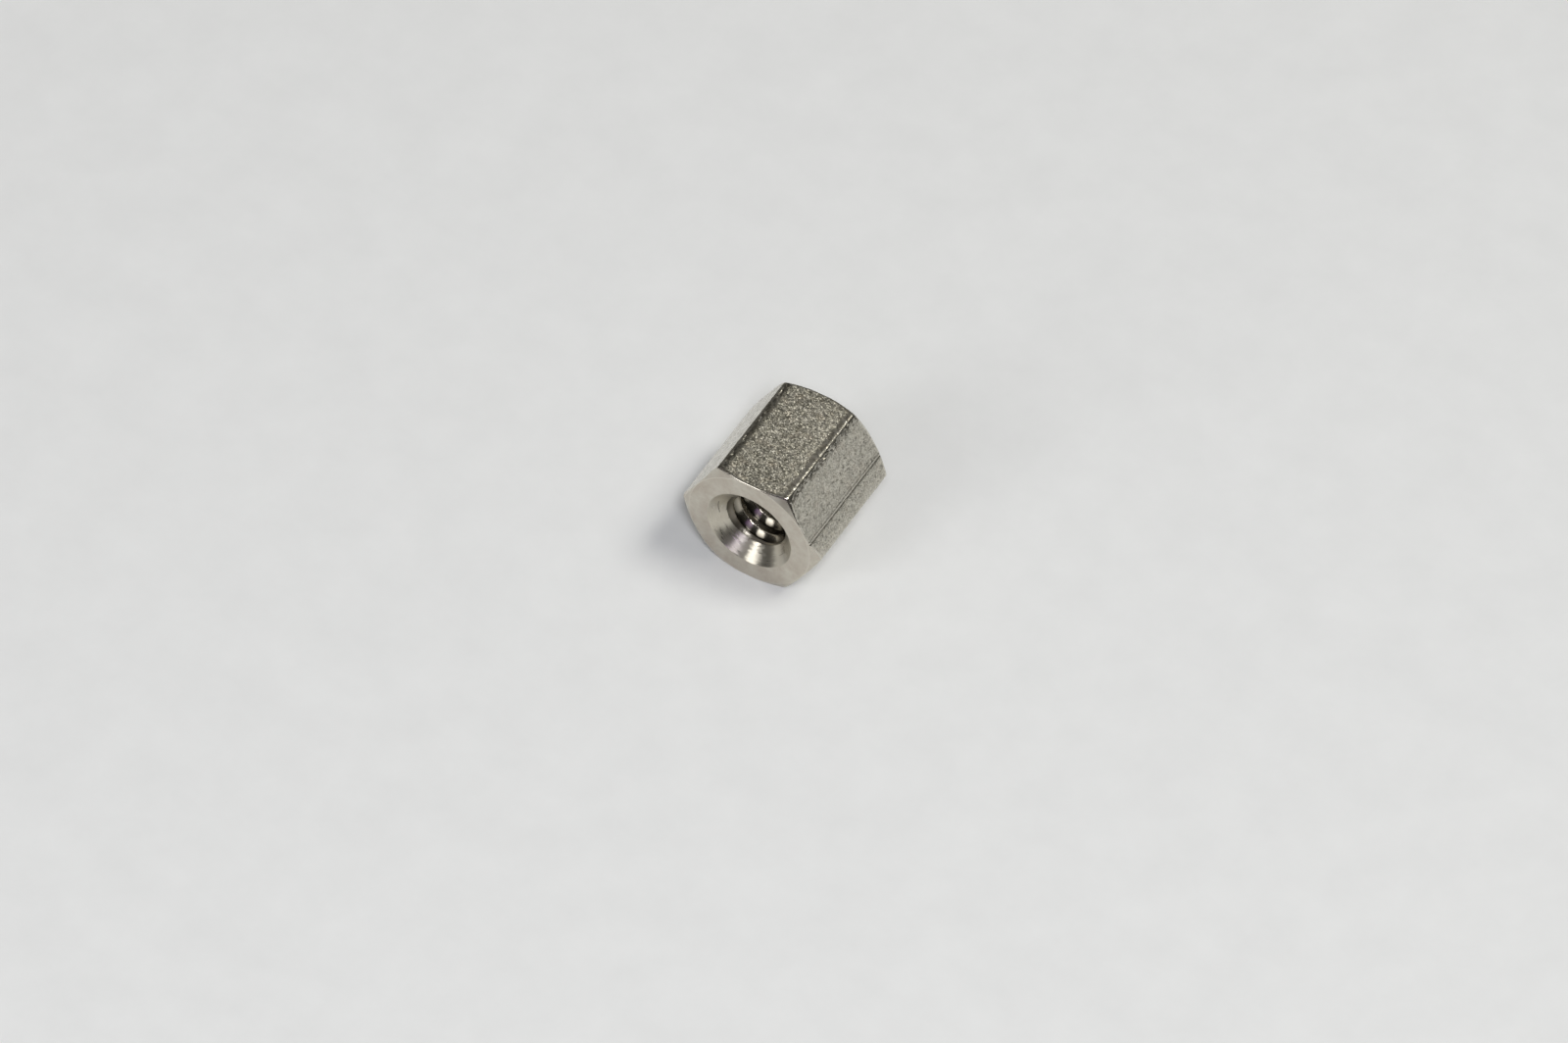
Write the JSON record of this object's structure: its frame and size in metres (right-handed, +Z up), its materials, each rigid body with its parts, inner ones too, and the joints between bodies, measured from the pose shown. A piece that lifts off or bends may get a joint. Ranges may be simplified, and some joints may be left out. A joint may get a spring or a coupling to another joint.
{
  "type": "hex standoff",
  "caption": "Short hex standoff of drawn steel bar, with chamfered corners and countersunk mouths at both ends and a threaded hole right through, lying on a flat.",
  "frame": {"origin": "on the bottom flat, under the bore's axis and midway between the two end faces", "axes": "+Y along the bore from one end face to the other, +Z up from the flat it lies on to the opposite flat, +X across two corners"},
  "size_m": [0.0072, 0.0064, 0.0063],
  "materials": {
    "stainless_steel": "drawn and tumbled flats with a fine grain, satin turned ends, bright countersinks and thread"
  },
  "bodies": {
    "root": {"standoff": "stainless_steel"}
  },
  "joints": []
}
